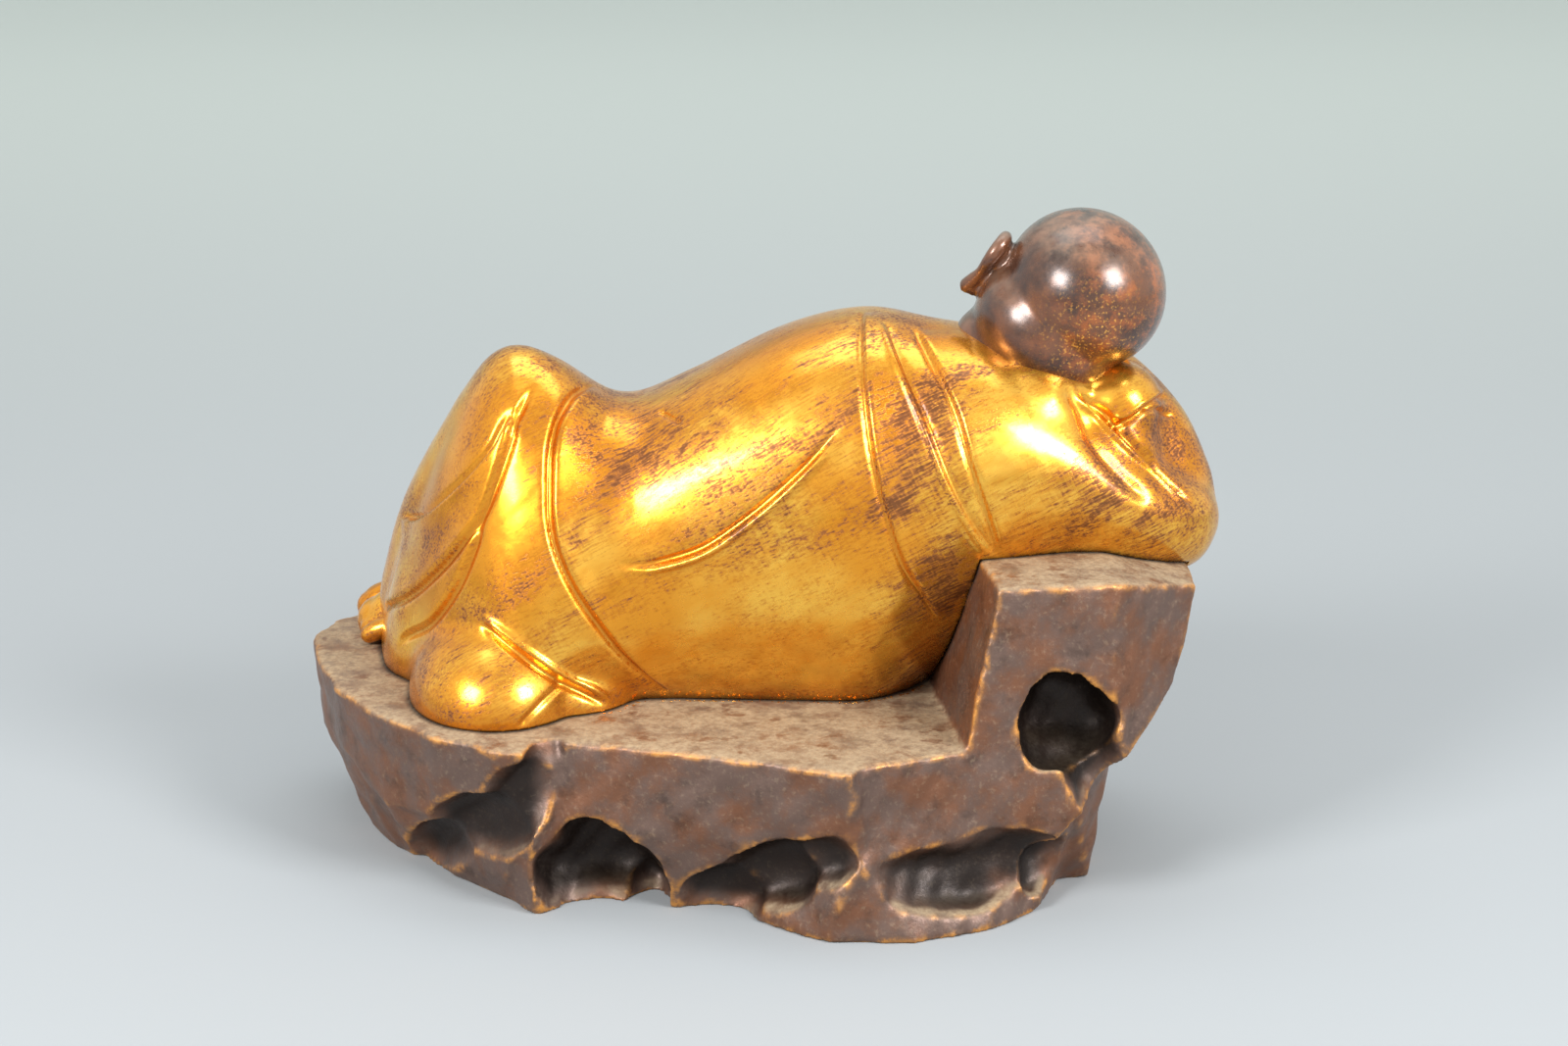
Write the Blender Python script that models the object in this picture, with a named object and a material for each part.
"""Sleeping arhat: a gilt figure asleep on its right side, on a carved rock.

The figure turns its back to the -Y side, its head lies towards +X and its
raised knee and left foot are at -X. Units are metres, +Z is up, and the
origin is the middle of the rock's footprint, on the ground.
"""

import math

import bmesh
import bpy
import numpy as np
from mathutils import Matrix, Vector
from mathutils.bvhtree import BVHTree

# Driving sizes of the rock
ROCK_LENGTH = 0.358       # left tip to the right end of the table
ROCK_DEPTH = 0.216        # near corner to the far rim
TABLE_HEIGHT = 0.069      # flat top that carries the body
SHELF_RISE = 0.0625       # headrest above the table
SHELF_TILT = 15.0         # fall of the shelf's right half, in degrees

# Driving sizes of the figure
FIGURE_LENGTH = 0.353     # toes to elbow
SEAT_GAP = 0.0003         # between the figure and everything it lies on

# Fineness of the solids
FIGURE_VOXEL = 0.0021
FIGURE_TRIANGLES = 7200
RING_SIDES = 40
CUTTER_SIDES = 14

# The figure is laid out in shares of its length, the rock in shares of its
# own sides: one share is one millimetre at the sizes above.
FIGURE_SHARE = FIGURE_LENGTH / 353.0
ROCK_X = ROCK_LENGTH / 358.0
ROCK_Y = ROCK_DEPTH / 216.0
ROCK_Z = TABLE_HEIGHT / 69.0
TABLE_SHARE = 69.0        # the table's height in the rock's own shares
HEADREST_FOOT = 72.0      # where the headrest rises from the table, in shares
HEADREST_SINK = 0.02      # height at which the headrest's block starts in the rock
CUTTER_REACH = 0.4        # side of the block that cuts the figure flat


def clear_scene():
    """Remove whatever the scene holds."""
    for item in list(bpy.data.objects):
        bpy.data.objects.remove(item, do_unlink=True)


def add_object(name, mesh):
    """Put a mesh in the scene as an object of its own."""
    item = bpy.data.objects.new(name, mesh)
    bpy.context.scene.collection.objects.link(item)
    return item


def add_material(item, name, colour, roughness, metallic):
    """Give an object a plain finish of its own."""
    finish = bpy.data.materials.new(name)
    finish.use_nodes = True
    shader = finish.node_tree.nodes["Principled BSDF"]
    shader.inputs["Base Color"].default_value = (*colour, 1.0)
    shader.inputs["Roughness"].default_value = roughness
    shader.inputs["Metallic"].default_value = metallic
    item.data.materials.append(finish)


def mesh_from_bmesh(name, bm):
    """Close a bmesh into a mesh whose faces point out."""
    bmesh.ops.recalc_face_normals(bm, faces=bm.faces)
    mesh = bpy.data.meshes.new(name)
    bm.to_mesh(mesh)
    bm.free()
    return mesh


def add_rings(bm, rings):
    """Skin a row of closed rings and cap both ends."""
    rows = [[bm.verts.new(point) for point in ring] for ring in rings]
    sides = len(rows[0])
    for low, high in zip(rows, rows[1:]):
        for i in range(sides):
            j = (i + 1) % sides
            bm.faces.new((low[i], low[j], high[j], high[i]))
    bm.faces.new(list(reversed(rows[0])))
    bm.faces.new(rows[-1])


def add_ellipsoid(bm, centre, radii, frame=None, sides=24):
    """Add an ellipsoid; the frame's columns are the directions of its radii."""
    turn = (frame or Matrix.Identity(3)).to_4x4()
    size = Matrix.Diagonal((*radii, 1.0))
    place = Matrix.Translation(centre) @ turn @ size
    bmesh.ops.create_uvsphere(bm, u_segments=sides, v_segments=sides // 2,
                              radius=1.0, matrix=place)


def smooth_path(points, steps):
    """Points on a Catmull-Rom curve through the given rows of numbers."""
    rows = np.asarray(points, float)
    padded = np.vstack([2 * rows[0] - rows[1], rows, 2 * rows[-1] - rows[-2]])
    out = []
    for i in range(1, len(padded) - 2):
        a, b, c, d = padded[i - 1:i + 3]
        for t in np.arange(steps) / steps:
            out.append(0.5 * (2 * b + (c - a) * t
                              + (2 * a - 5 * b + 4 * c - d) * t ** 2
                              + (3 * b - a - 3 * c + d) * t ** 3))
    out.append(padded[-2])
    return np.array(out)


def add_tube(bm, stations, steps=4, sides=20):
    """Add a round limb through (x, y, z, radius) stations."""
    path = smooth_path(stations, steps)
    centres, radii = path[:, :3], np.maximum(path[:, 3], 1e-4)
    ahead = np.gradient(centres, axis=0)
    rings = []
    side = Vector((0.0, 1.0, 0.0))
    for centre, radius, way in zip(centres, radii, ahead):
        way = Vector(way).normalized()
        across = (side - way * side.dot(way)).normalized()
        other = way.cross(across)
        turns = [i * math.tau / sides for i in range(sides)]
        rings.append([Vector(centre) + (across * math.cos(a) + other * math.sin(a)) * float(radius)
                      for a in turns])
    add_rings(bm, rings)
    for end in (0, -1):
        add_ellipsoid(bm, centres[end], (radii[end],) * 3, sides=16)


# Eyes that carved lines and hollows are drawn for, in shares above the table
EYES = {
    "back": (8.0, -1195.0, 432.0),
    "front": (0.0, 1400.0, 300.0),
    "right": (1400.0, 0.0, 300.0),
}

# Rock

# Wall of the rock, counter-clockwise from the left tip: the rim on the table,
# the belt where the wall turns in, and the foot on the ground, as
# (rim x, rim y, belt x, belt y, belt z, foot x, foot y) in shares.
WALL = (
    (-190, 55, -186, 52, 32, -164, 40),
    (-184, 28, -181, 25, 40, -162, 14),
    (-173, -5, -169, -6, 42, -149, -9),
    (-154, -35, -150, -32, 30, -139, -17),
    (-128, -61, -126, -57, 34, -122, -38),
    (-104, -76, -103, -72, 36, -102, -58),
    (-87, -81, -89, -78, 34, -88, -74),
    (-79, -66, -79, -69, 34, -74, -66),
    (-48, -74, -47, -75, 34, -48, -64),
    (-14, -84, -14, -83, 34, -14, -72),
    (33, -101, 32, -98, 38, 25, -101),
    (38, -94, 40, -93, 36, 56, -101),
    (77, -78, 84, -78, 34, 88, -88),
    (112, -73, 110, -74, 36, 108, -68),
    (133, -68, 122, -70, 50, 116, -40),
    (138, -44, 135, -44, 48, 129, -37),
    (142, 6, 138, 4, 40, 134, 2),
    (138, 48, 136, 46, 34, 128, 42),
    (112, 84, 116, 80, 36, 104, 72),
    (64, 104, 66, 100, 34, 58, 88),
    (8, 113, 10, 108, 32, 6, 96),
    (-52, 115, -50, 111, 36, -48, 98),
    (-112, 110, -110, 106, 32, -104, 92),
    (-160, 98, -156, 94, 34, -142, 78),
    (-184, 80, -180, 77, 30, -160, 62),
)

# Hollows carved into the wall: where each is seen from an eye (x and z on the
# upright plane through the middle, in shares), how far its centre stands out
# of the wall, and its radii along, into and up the wall.
SCOOPS = {
    "main_arch": ("back", -68, -13, 3, (25, 27, 20)),
    "small_arch": ("back", -50, -22, 2, (11, 22, 13)),
    "foot_scoop": ("back", 73, -21, 8, (44, 20, 20)),
    "corner_scoop": ("back", 116, -12, 2, (12, 13, 12)),
    "cave": ("back", 124, 50, -8, (21, 23, 20)),
    "cave_floor": ("back", 137, 30, 2, (14, 16, 17)),
    "far_arch": ("front", -16, -14, 3, (30, 28, 24)),
    "far_small_arch": ("front", 22, -18, 2, (15, 22, 16)),
    "far_left_arch": ("front", -112, -16, 3, (24, 24, 20)),
    "far_corner": ("front", 92, -10, 4, (24, 16, 19)),
    "right_arch": ("right", 8, -12, 3, (26, 20, 18)),
}

# Gullies: an eye, how far the middle stands out, and (x, z, radius) stations
GULLIES = {
    "lobe_gully": ("back", 3, ((-90, 42, 6), (-93, 28, 11), (-107, 9, 15), (-126, 2, 14), (-138, -6, 8))),
    "long_undercut": ("back", 3, ((-24, -27, 11), (-6, -20, 16), (14, -11, 13), (33, -8, 8))),
    "far_gully": ("front", 2, ((-58, 30, 6), (-66, 10, 11), (-88, -8, 14))),
    "far_undercut": ("front", 2, ((34, 8, 9), (60, -6, 13), (88, -6, 12))),
}
GULLY_OVERLAP = 0.72      # half length of each bite, as a share of its stretch

# Creases cut down the wall, as (x, y, low z, high z, half width)
CREASES = {
    "rim_notch": (-79.0, -84.0, 48.0, 84.0, 10.0),
    "wall_crease": (37.5, -101.0, 33.0, 84.0, 4.8),
    "tip_nick": (-193.0, 66.0, 40.0, 84.0, 4.0),
}


# Facets of the headrest, as (level that it is set from, a point on it, and the
# way it looks): x past the headrest's foot, y and z over the level, in shares.
HEADREST_FACETS = (
    ("table", (5, -76, 0), (-0.971, -0.134, 0.198)),
    ("shelf", (17, -70, 0), (0.134, -0.986, 0.0997)),
    ("shelf", (0, 0, 0), (0.0, 0.0, 1.0)),
    ("shelf", (61, 0, 0), (math.sin(math.radians(SHELF_TILT)), 0.0, math.cos(math.radians(SHELF_TILT)))),
    ("shelf", (62, -64, 0), (0.645, -0.761, 0.070)),
    ("shelf", (96, 0, -10), (0.974, 0.0, -0.227)),
    ("table", (68, 0, -7), (0.752, 0.0, -0.658)),
    ("shelf", (90, 30, -10), (0.80, 0.60, 0.05)),
    ("shelf", (50, 64, 0), (0.15, 0.98, 0.10)),
    ("table", (12, 52, 0), (-0.62, 0.78, 0.06)),
)


def rock_point(x, y, z):
    """A place on the rock from shares of its sides and of the table's height."""
    return Vector((x * ROCK_X, y * ROCK_Y, z * ROCK_Z))


def rock_body_mesh():
    """The low rock: three outlines joined, table above and ground below."""
    foot = [rock_point(row[5], row[6], 0.0) for row in WALL]
    belt = [rock_point(row[2], row[3], row[4]) for row in WALL]
    rim = [rock_point(row[0], row[1], TABLE_SHARE) for row in WALL]
    bm = bmesh.new()
    add_rings(bm, [foot, belt, rim])
    return mesh_from_bmesh("rock_base", bm)


def headrest_mesh(gap=0.0):
    """The headrest block, cut from a box by its facets, each moved out by gap."""
    levels = {"table": TABLE_HEIGHT, "shelf": TABLE_HEIGHT + SHELF_RISE}
    bm = bmesh.new()
    size = Vector((CUTTER_REACH, CUTTER_REACH, levels["shelf"]))
    middle = rock_point(HEADREST_FOOT, 0.0, 0.0)
    middle.z = levels["shelf"] / 2 + HEADREST_SINK
    box = Matrix.Translation(middle) @ Matrix.Diagonal((*size, 1.0))
    bmesh.ops.create_cube(bm, size=1.0, matrix=box)
    for level, (x, y, z), way in HEADREST_FACETS:
        place = rock_point(HEADREST_FOOT + x, y, z) + Vector((0.0, 0.0, levels[level]))
        way = Vector(way).normalized()
        cut = bmesh.ops.bisect_plane(bm, geom=bm.verts[:] + bm.edges[:] + bm.faces[:],
                                     plane_co=place + way * gap, plane_no=way, clear_outer=True)
        edges = [e for e in cut["geom_cut"] if isinstance(e, bmesh.types.BMEdge)]
        bmesh.ops.holes_fill(bm, edges=edges, sides=0)
    return mesh_from_bmesh("headrest", bm)


def add_cutter(name, mesh):
    """Add a hidden shape that another object is cut or joined with."""
    cutter = add_object(name, mesh)
    cutter.hide_render = True
    cutter.display_type = "WIRE"
    return cutter


def boolean(item, cutter, operation):
    """Join or cut an object by a cutter."""
    modifier = item.modifiers.new(cutter.name, "BOOLEAN")
    modifier.object = cutter
    modifier.operation = operation
    modifier.solver = "EXACT"


def wall_place(wall, side, x, z):
    """Where a line of sight meets the wall, and the level way into it there."""
    eye_x, eye_y, eye_z = EYES[side]
    eye = rock_point(eye_x, eye_y, eye_z + TABLE_SHARE)
    target = rock_point(0.0, x, z) if side == "right" else rock_point(x, 0.0, z)
    hit, normal, _, _ = wall.ray_cast(eye, (target - eye).normalized())
    return hit, Vector((-normal.x, -normal.y, 0.0)).normalized()


def build_rock():
    """The rock: body and headrest joined, then hollowed and creased."""
    rock = add_object("rock_base", rock_body_mesh())
    add_material(rock, "brown_patina", (0.095, 0.050, 0.033), 0.48, 0.6)
    boolean(rock, add_cutter("headrest_block", headrest_mesh()), "UNION")
    whole = bmesh.new()
    whole.from_mesh(evaluated_mesh(rock))
    wall = BVHTree.FromBMesh(whole)
    whole.free()
    for name, (side, x, z, out, radii) in SCOOPS.items():
        place = wall_place(wall, side, x, z)
        along = Vector((place[1].y, -place[1].x, 0.0))
        frame = Matrix((along, place[1], Vector((0.0, 0.0, 1.0)))).transposed()
        bm = bmesh.new()
        size = (radii[0] * ROCK_X, radii[1] * ROCK_Y, radii[2] * ROCK_Z)
        add_ellipsoid(bm, place[0] - place[1] * out * ROCK_Y, size, frame, CUTTER_SIDES)
        boolean(rock, add_cutter(name, mesh_from_bmesh(name, bm)), "DIFFERENCE")
    for name, (side, out, stations) in GULLIES.items():
        middles = []
        for x, z, radius in stations:
            hit, inward = wall_place(wall, side, x, z)
            middles.append((hit - inward * out * ROCK_Y, radius * ROCK_Z))
        for (start, wide), (end, narrow) in zip(middles, middles[1:]):
            along = end - start
            bm = bmesh.new()
            radius = (wide + narrow) / 2
            size = (along.length * GULLY_OVERLAP + radius * 0.5, radius, radius)
            frame = along.to_track_quat("X", "Z").to_matrix()
            add_ellipsoid(bm, start.lerp(end, 0.5), size, frame, CUTTER_SIDES)
            boolean(rock, add_cutter(name, mesh_from_bmesh(name, bm)), "DIFFERENCE")
    for name, (x, y, low, high, half) in CREASES.items():
        bm = bmesh.new()
        side = half * math.sqrt(2.0)
        size = Matrix.Diagonal((side * ROCK_X, side * ROCK_Y, (high - low) * ROCK_Z, 1.0))
        place = Matrix.Translation(rock_point(x, y, (low + high) / 2))
        turn = Matrix.Rotation(math.radians(45), 4, "Z")
        bmesh.ops.create_cube(bm, size=1.0, matrix=place @ turn @ size)
        boolean(rock, add_cutter(name, mesh_from_bmesh(name, bm)), "DIFFERENCE")
    return rock


# Figure

# Sections of the robed body from the left foot to the right elbow, as
# (x, y of the middle, reach to the back, reach to the front, z of the middle,
# rise, drop, roundness), z counted from the table.
SECTIONS = (
    (-160, 50, 6, 8, 2, 4, 14, 2.0),
    (-155, 46, 28, 28, 4, 20, 18, 2.0),
    (-149, 43, 38, 38, 6, 42, 20, 2.0),
    (-141, 38, 42, 46, 8, 57, 22, 2.0),
    (-128, 31, 50, 52, 10, 90, 26, 1.85),
    (-113, 25, 57, 58, 14, 112, 30, 1.8),
    (-99, 21, 60, 60, 18, 117, 34, 1.75),
    (-82, 20, 60, 62, 26, 103, 44, 1.85),
    (-57, 22, 58, 60, 42, 71, 60, 2.1),
    (-30, 23, 60, 60, 54, 68, 72, 2.2),
    (8, 23, 63, 58, 60, 81, 80, 2.2),
    (40, 22, 63, 56, 66, 83, 86, 2.2),
    (66, 21, 60, 53, 84, 61, 88, 2.0),
    (92, 17, 54, 50, 92, 48, 72, 2.1),
    (116, 15, 48, 44, 90, 36, 48, 2.1),
    (138, 12, 42, 38, 82, 26, 40, 2.0),
    (158, 10, 33, 32, 74, 20, 30, 2.0),
    (174, 10, 20, 22, 69, 14, 20, 2.0),
    (182, 10, 6, 7, 68, 4, 6, 2.0),
)

# Rounded masses of the robed body, as (centre, radii, turn about z in degrees)
MASSES = {
    "near_hem": ((-105, -10, 2), (37, 48, 33), 0),
    "near_hem_end": ((-78, -12, 0), (27, 28, 24), 12),
    "right_knee": ((-92, 58, 12), (44, 36, 32), -12),
    "belly": ((-4, 50, 50), (54, 36, 50), 0),
    "chest": ((60, 46, 92), (38, 34, 44), 0),
    "left_shoulder": ((34, 44, 118), (26, 28, 24), 0),
    "sleeve_drop": ((-8, 68, 34), (38, 20, 42), 4),
    "collar": ((103, 10, 106), (32, 36, 33), 0),
}

# Limbs under cloth, as (x, y, z, radius) stations
LIMBS = {
    "right_forearm": ((160, 20, 74, 22), (150, 24, 96, 22), (140, 30, 114, 17), (134, 34, 122, 13)),
    "left_arm": ((30, 50, 118, 22), (10, 76, 92, 20), (-18, 88, 68, 17), (-46, 84, 50, 12)),
    "left_shin": ((-100, 26, 100, 26), (-124, 44, 56, 26), (-140, 56, 18, 22)),
}

# The head lies on its right side: crown up to the right, face away
HEAD_CENTRE = (125.0, 20.0, 157.0)
HEAD_LEAN = 38.0          # crown away from upright, in degrees


def head_frame():
    """Columns: left ear, face, crown."""
    lean = math.radians(HEAD_LEAN)
    ear = Vector((-math.cos(lean), 0.0, math.sin(lean)))
    crown = Vector((math.sin(lean), 0.0, math.cos(lean)))
    face = ear.cross(crown)
    return Matrix((ear, face, crown)).transposed()


# Masses of the head in its own frame, as (centre, radii): ear side, face, crown
HEAD_MASSES = {
    "skull": ((0, -4, 2), (33.5, 37, 32)),
    "brow": ((0, 12, 4), (27, 22, 20)),
    "jaw": ((0, 10, -24), (27, 24, 26)),
    "cheek_left": ((13, 20, -13), (14, 12, 14)),
    "cheek_right": ((-13, 20, -13), (14, 12, 14)),
    "chin": ((0, 27, -40), (10, 8, 8)),
    "neck": ((2, 4, -34), (27, 22, 28)),
    "nose": ((0, 34, -12), (5.0, 8, 10)),
    "nose_tip": ((0, 37.5, -17), (6.0, 5.5, 4.6)),
    "lid_left": ((11, 29.5, -3), (7.6, 4.6, 4.4)),
    "lid_right": ((-11, 29.5, -3), (7.6, 4.6, 4.4)),
    "lip_upper": ((0, 33.0, -26.5), (9.0, 3.8, 2.3)),
    "lip_lower": ((0, 32.2, -30.3), (7.5, 3.8, 2.5)),
    "ear_left": ((35.5, -2, -11), (3.4, 8.5, 15)),
    "ear_root": ((32, 2, -12), (5, 6, 11)),
    "lobe_left": ((34.5, 0, -26), (3.6, 5.0, 8)),
    "ear_right": ((-35, 0, -11), (3.6, 8.5, 15)),
}

FINGERS = 4
TOES = 5


def head_forms(bm):
    """The head, leaning on the right hand."""
    frame = head_frame()
    centre = Vector(HEAD_CENTRE)
    for middle, radii in HEAD_MASSES.values():
        add_ellipsoid(bm, centre + frame @ Vector(middle), radii, frame, 32)


def right_hand_forms(bm):
    """Palm and fingers along the right cheek."""
    frame = head_frame()
    centre = Vector(HEAD_CENTRE)
    add_ellipsoid(bm, centre + frame @ Vector((-31, 20, -24)), (8, 15, 16), frame)
    for i in range(FINGERS):
        forward = 10.0 + 8.0 * i
        reach = 4.0 - 2.5 * abs(i - 1.5)
        low = centre + frame @ Vector((-33, forward, -22))
        high = centre + frame @ Vector((-28 + 0.8 * i, forward + 1.0, reach))
        middle = low.lerp(high, 0.5) + frame @ Vector((-1.5, 0, 0))
        add_tube(bm, [(*low, 4.8), (*middle, 4.5), (*high, 3.6)], sides=12)


def left_hand_forms(bm):
    """The left hand resting on the lap."""
    add_ellipsoid(bm, (-56, 83, 47), (15, 13, 8))
    for i in range(FINGERS):
        start = Vector((-62, 73 + 6.5 * i, 47))
        end = Vector((-84 + 2.0 * abs(i - 1.5), 68 + 7.0 * i, 41 - 2.0 * i))
        add_tube(bm, [(*start, 4.4), (*start.lerp(end, 0.5), 4.3), (*end, 3.2)], sides=12)
    add_tube(bm, [(-48, 94, 46, 4.5), (-59, 99, 42, 4.2), (-68, 99, 38, 3.2)], sides=12)


def foot_forms(bm):
    """The planted left foot and its row of toes."""
    add_tube(bm, [(-140, 60, 8, 15), (-154, 60, 8, 13), (-162, 62, 6, 10)])
    for i in range(TOES):
        across = 46.0 + 8.6 * i + (3.0 if i == TOES - 1 else 0.0)
        size = 4.6 + 0.5 * i + (1.6 if i == TOES - 1 else 0.0)
        tip = -168.0 + 0.8 * (TOES - 1 - i)
        stations = [(tip + 12, across, 9, size), (tip + 4, across, 6.5, size), (tip, across, 4.5, 0.85 * size)]
        add_tube(bm, stations, sides=12)


def robe_forms(bm):
    """The robed body: one skinned run of sections with masses and limbs on it."""
    rows = smooth_path(SECTIONS, 5)
    angles = np.arange(RING_SIDES) * math.tau / RING_SIDES
    rings = []
    for x, mid_y, back, front, mid_z, rise, drop, power in rows:
        ring = []
        for angle in angles:
            c, s = math.cos(angle), math.sin(angle)
            reach_y = front if c > 0 else back
            reach_z = rise if s > 0 else drop
            y = mid_y + max(reach_y, 1) * math.copysign(abs(c) ** (2 / power), c)
            z = mid_z + max(reach_z, 1) * math.copysign(abs(s) ** (2 / power), s)
            ring.append(Vector((x, y, z)))
        rings.append(ring)
    add_rings(bm, rings)
    for centre, radii, turn in MASSES.values():
        add_ellipsoid(bm, centre, radii, Matrix.Rotation(math.radians(turn), 3, "Z"), 32)
    for stations in LIMBS.values():
        add_tube(bm, stations)


# Folds and hems, drawn on the upright plane through the figure's middle as it
# is seen from an eye behind it (or in front), then laid on the cloth along
# the lines of sight. Each has (x, z) points and cuts across the line, as
# (kind, height, width, offset), an offset being to the left on the way along.
FOLDS = {
    "coat_edge": ("back", ((-67, 124), (-75, 119), (-81, 109), (-84, 97), (-85, 84), (-85, 68), (-82, 53),
                           (-75, 37), (-66, 23), (-55, 9), (-38, -6)),
                  (("groove", 3.2, 3.0, 0.0), ("lip", 1.6, 14.0, 2.5), ("lip", 0.8, -7.0, -2.5))),
    "sash_fold": ("back", ((-61, 48), (-51, 48), (-42, 49), (-24, 55), (-8, 66), (6, 78), (20, 92),
                           (34, 109)),
                  (("groove", 2.2, 2.0, 1.6), ("ridge", 1.8, 1.7, -1.3))),
    "shoulder_nick": ("back", ((-41, 113), (-32, 108)), (("groove", 1.3, 1.4, 0.0),)),
    "cuff_top": ("back", ((-96, 114), (-102, 105), (-106, 98), (-114, 88), (-122, 80), (-132, 71), (-138, 68),
                          (-144, 69)),
                 (("groove", 1.4, 2.0, -1.5), ("lip", 2.2, 9.0, 0.0))),
    "cuff_bottom": ("back", ((-89, 125), (-97, 111), (-100, 100), (-106, 84), (-112, 70), (-121, 57),
                             (-132, 45), (-143, 36), (-158, 29)),
                    (("groove", 1.8, 2.2, 0.5), ("lip", 1.2, -7.0, -1.0))),
    "hem_side": ("back", ((-111, 72), (-116, 56), (-123, 40), (-133, 26), (-143, 20), (-148, 15)),
                 (("groove", 1.5, 2.2, 0.5), ("lip", 1.2, -8.0, -1.0))),
    "hem_ridge": ("back", ((-115, 28), (-101, 16), (-84, 3), (-71, -4), (-62, -9)),
                  (("groove", 2.6, 2.4, -1.4), ("ridge", 1.2, 2.0, 1.6))),
    "hem_tuck": ("back", ((-80, 1), (-90, -9), (-100, -20)), (("groove", 1.4, 1.8, 0.0),)),
    "band_left": ("back", ((38, 153), (38, 135), (40, 112), (43, 92), (48, 71), (55, 50), (64, 35), (70, 25)),
                  (("groove", 1.5, 1.7, 0.0), ("lip", 1.3, 9.0, 1.2))),
    "band_middle": ("back", ((45, 149), (52, 131), (62, 108), (72, 83), (81, 66), (91, 51)),
                    (("ridge", 1.1, 1.5, 0.0), ("groove", 1.2, 1.8, 2.4))),
    "band_right": ("back", ((58, 147), (67, 130), (75, 112), (81, 92), (87, 74), (94, 52)),
                   (("groove", 1.6, 2.0, 0.0), ("lip", 1.2, 10.0, 1.5))),
    "arm_crease": ("back", ((116, 124), (123, 116), (130, 100), (140, 88), (154, 75)),
                   (("groove", 1.6, 4.0, 0.0),)),
    "arm_ridge": ("back", ((121, 121), (134, 108), (151, 91), (170, 72)),
                  (("ridge", 1.2, 1.8, 0.0), ("groove", 2.4, 2.6, 2.6))),
    "sleeve_fold": ("back", ((134, 107), (143, 109), (151, 115), (158, 120)), (("groove", 1.8, 1.8, 0.0),)),
    "sleeve_tuck": ("back", ((148, 114), (156, 113), (162, 110)), (("groove", 1.4, 1.6, 0.0),)),
    "lapel_left": ("front", ((80, 136), (58, 112), (34, 88), (10, 68), (-14, 54), (-38, 47)),
                   (("groove", 2.0, 2.0, -1.5), ("lip", 2.4, 9.0, 0.0))),
    "lapel_right": ("front", ((112, 88), (84, 66), (52, 50), (18, 42), (-14, 40), (-38, 43)),
                    (("groove", 2.0, 2.0, 1.5), ("lip", 2.4, -9.0, 0.0))),
    "belly_fold_a": ("front", ((84, 34), (50, 20), (14, 14), (-24, 16), (-60, 24)),
                     (("groove", 2.2, 3.0, 0.0),)),
    "belly_fold_b": ("front", ((66, 14), (34, 4), (0, 0), (-34, 2)), (("groove", 2.0, 2.8, 0.0),)),
    "knee_fold_a": ("front", ((-84, 118), (-96, 84), (-112, 52), (-134, 28)), (("groove", 2.2, 3.0, 0.0),)),
    "knee_fold_b": ("front", ((-66, 98), (-76, 70), (-92, 48), (-116, 30)), (("groove", 2.2, 3.0, 0.0),)),
    "arm_fold_a": ("front", ((44, 128), (26, 108), (6, 98)), (("groove", 1.8, 2.6, 0.0),)),
    "arm_fold_b": ("front", ((30, 134), (8, 118), (-12, 104)), (("groove", 1.8, 2.6, 0.0),)),
}
FOLD_STEPS = 6
FOLD_TAPER = 0.16         # share of a fold's length over which each end fades


def cut_across(kind, height, width, offset, across):
    """How far the cloth is raised at signed distances across a fold."""
    away = across - offset
    if kind == "ridge":
        return height * np.exp(-(away / width) ** 2)
    if kind == "groove":
        return -height * np.exp(-(away / width) ** 2)
    beyond = away * math.copysign(1.0, width)
    rise = 1.0 / (1.0 + np.exp(-np.clip(beyond * 2.2, -30, 30)))
    return height * rise * np.exp(-np.maximum(beyond, 0.0) / abs(width))


def lay_on(tree, side, points):
    """Lay a drawn line on the skin, from the eye of its side."""
    eye = Vector(EYES[side])
    laid = []
    for x, z in smooth_path(points, FOLD_STEPS):
        hit, normal, _, _ = tree.ray_cast(eye, (Vector((x, 0.0, z)) - eye).normalized())
        if hit is not None:
            laid.append((*hit, *normal))
    return np.array(laid)


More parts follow.
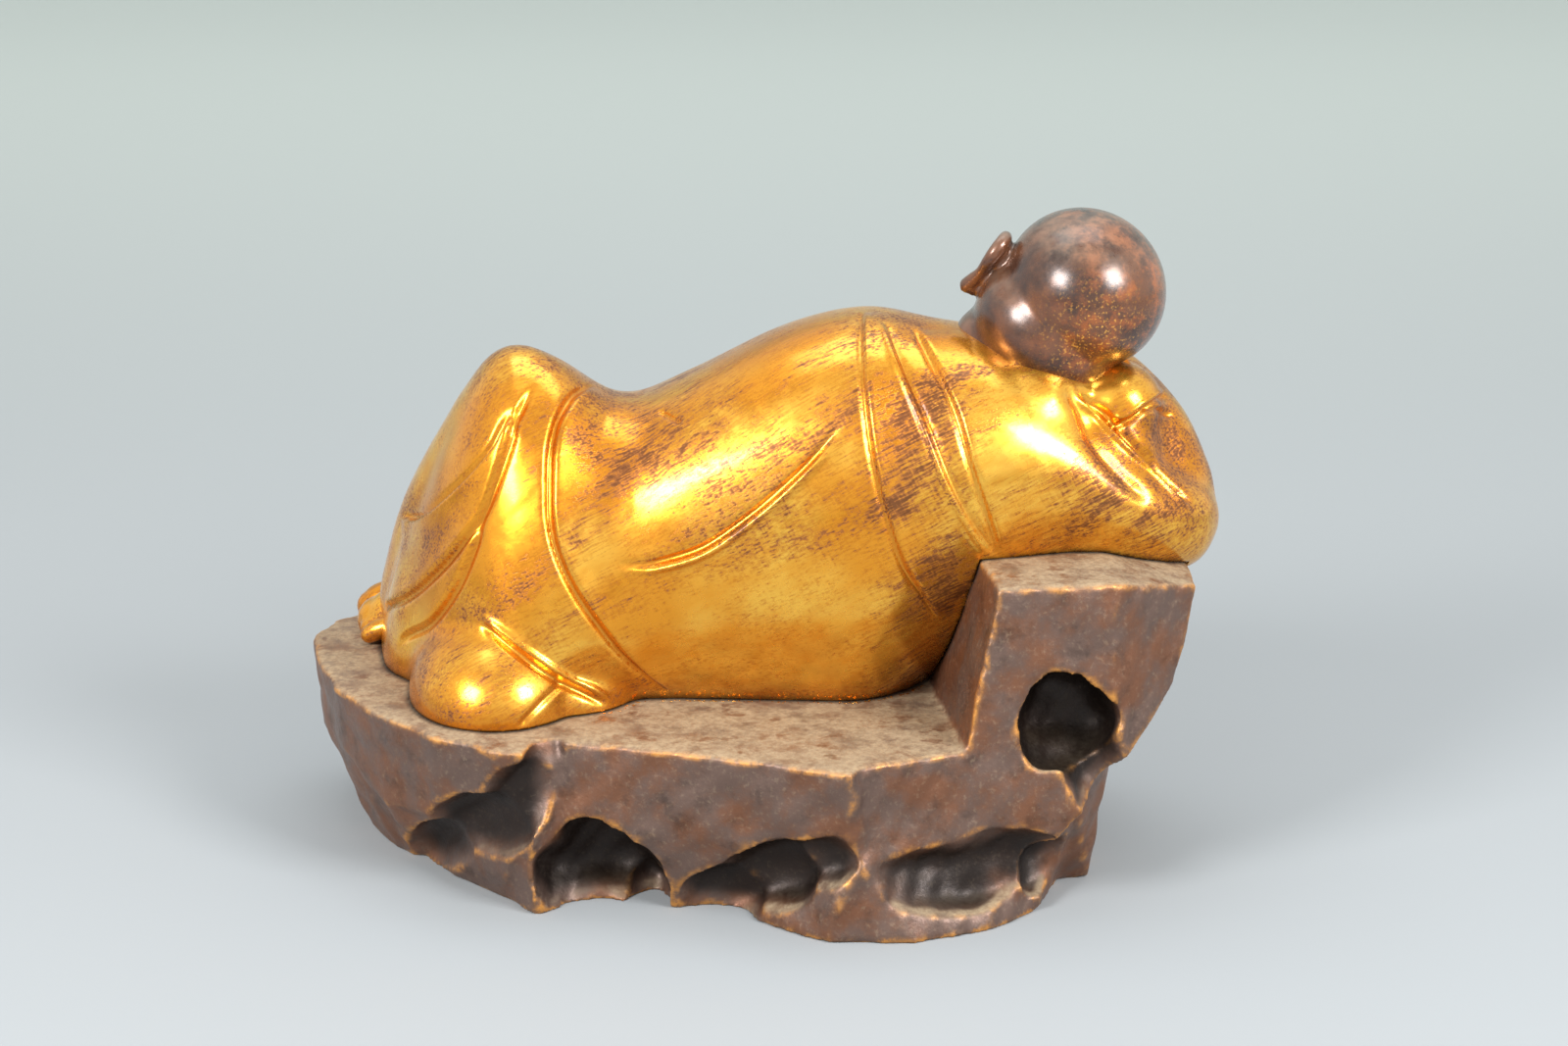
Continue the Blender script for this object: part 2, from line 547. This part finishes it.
def carve(mesh):
    """Cut the folds and hems into the skin along its own normals."""
    bm = bmesh.new()
    bm.from_mesh(mesh)
    tree = BVHTree.FromBMesh(bm)
    bm.free()
    places = np.empty(len(mesh.vertices) * 3)
    mesh.vertices.foreach_get("co", places)
    places = places.reshape(-1, 3)
    normals = np.empty(len(mesh.vertices) * 3, np.float32)
    mesh.vertex_normals.foreach_get("vector", normals)
    normals = normals.reshape(-1, 3).astype(float)
    raised = np.zeros(len(places))
    for side, points, cuts in FOLDS.values():
        laid = lay_on(tree, side, points)
        if len(laid) < 2:
            continue
        line = laid[:, :3]
        steps = np.linalg.norm(np.diff(line, axis=0), axis=1)
        run = np.concatenate([[0.0], np.cumsum(steps)])
        reach = max(abs(width) * 3 + abs(offset) for _, _, width, offset in cuts)
        near = np.all((places > line.min(0) - reach) & (places < line.max(0) + reach), axis=1)
        near = np.flatnonzero(near)
        spots = places[near]
        best = np.full(len(near), np.inf)
        across = np.zeros(len(near))
        along = np.zeros(len(near))
        for i in range(len(line) - 1):
            way = line[i + 1] - line[i]
            share = np.clip((spots - line[i]) @ way / max(way @ way, 1e-9), 0.0, 1.0)
            away = spots - line[i] - share[:, None] * way
            far = np.linalg.norm(away, axis=1)
            closer = far < best
            left = np.cross(laid[i, 3:], way / max(steps[i], 1e-9))
            best = np.where(closer, far, best)
            across = np.where(closer, np.sign(away @ left) * far, across)
            along = np.where(closer, (run[i] + share * steps[i]) / run[-1], along)
        ends = np.clip(np.minimum(along, 1.0 - along) / FOLD_TAPER, 0.0, 1.0)
        fade = ends * ends * (3 - 2 * ends) * (best < reach)
        for kind, height, width, offset in cuts:
            raised[near] += fade * cut_across(kind, height, width, offset, across)
    places += normals * raised[:, None]
    mesh.vertices.foreach_set("co", places.ravel())
    mesh.update()


def evaluated_mesh(item):
    """The mesh of an object with its modifiers applied."""
    graph = bpy.context.evaluated_depsgraph_get()
    return bpy.data.meshes.new_from_object(item.evaluated_get(graph))


def fuse(name, forms, voxel, rounds):
    """Melt overlapping forms into one skin and relax it."""
    bm = bmesh.new()
    for form in forms:
        form(bm)
    item = add_object(name, mesh_from_bmesh(name, bm))
    melt = item.modifiers.new("melt", "REMESH")
    melt.mode = "VOXEL"
    melt.voxel_size = voxel
    relax = item.modifiers.new("relax", "SMOOTH")
    relax.factor = 0.5
    relax.iterations = rounds
    mesh = evaluated_mesh(item)
    bpy.data.objects.remove(item, do_unlink=True)
    return mesh


def figure_matrix():
    """From shares to metres, seated on the table in front of the headrest."""
    place = Vector((HEADREST_FOOT * ROCK_X - HEADREST_FOOT * FIGURE_SHARE, 0.0, TABLE_HEIGHT))
    return Matrix.Translation(place) @ Matrix.Scale(FIGURE_SHARE, 4)


def build_figure():
    """The figure: forms melted together, carved, and cut flat where it rests."""
    forms = (robe_forms, head_forms, right_hand_forms, left_hand_forms, foot_forms)
    mesh = fuse("arhat_figure", forms, FIGURE_VOXEL / FIGURE_SHARE, 4)
    carve(mesh)
    mesh.shade_smooth()
    mesh.transform(figure_matrix())
    figure = add_object("arhat_figure", mesh)
    add_material(figure, "gilding", (0.80, 0.42, 0.09), 0.30, 1.0)
    thin = figure.modifiers.new("thin", "DECIMATE")
    thin.ratio = FIGURE_TRIANGLES / (2.0 * len(mesh.polygons))
    boolean(figure, add_cutter("headrest_seat", headrest_mesh(SEAT_GAP)), "DIFFERENCE")
    bm = bmesh.new()
    half = CUTTER_REACH / 2
    place = Matrix.Translation((0.0, 0.0, TABLE_HEIGHT + SEAT_GAP - half))
    bmesh.ops.create_cube(bm, size=CUTTER_REACH, matrix=place @ Matrix.Diagonal((2.0, 2.0, 1.0, 1.0)))
    boolean(figure, add_cutter("table_seat", mesh_from_bmesh("table_seat", bm)), "DIFFERENCE")
    return figure


def centre_on_ground(items):
    """Hang everything on an empty, so that the origin is the middle of the footprint."""
    graph = bpy.context.evaluated_depsgraph_get()
    corners = [Vector(corner) for item in items for corner in item.evaluated_get(graph).bound_box]
    shift = [-(min(c[axis] for c in corners) + max(c[axis] for c in corners)) / 2 for axis in (0, 1)]
    hanger = add_object("arhat_origin", None)
    hanger.location = (*shift, 0.0)
    for item in bpy.data.objects:
        if item is not hanger:
            item.parent = hanger


def main():
    """Build the rock and the figure that sleeps on it."""
    clear_scene()
    rock = build_rock()
    figure = build_figure()
    centre_on_ground((rock, figure))


main()
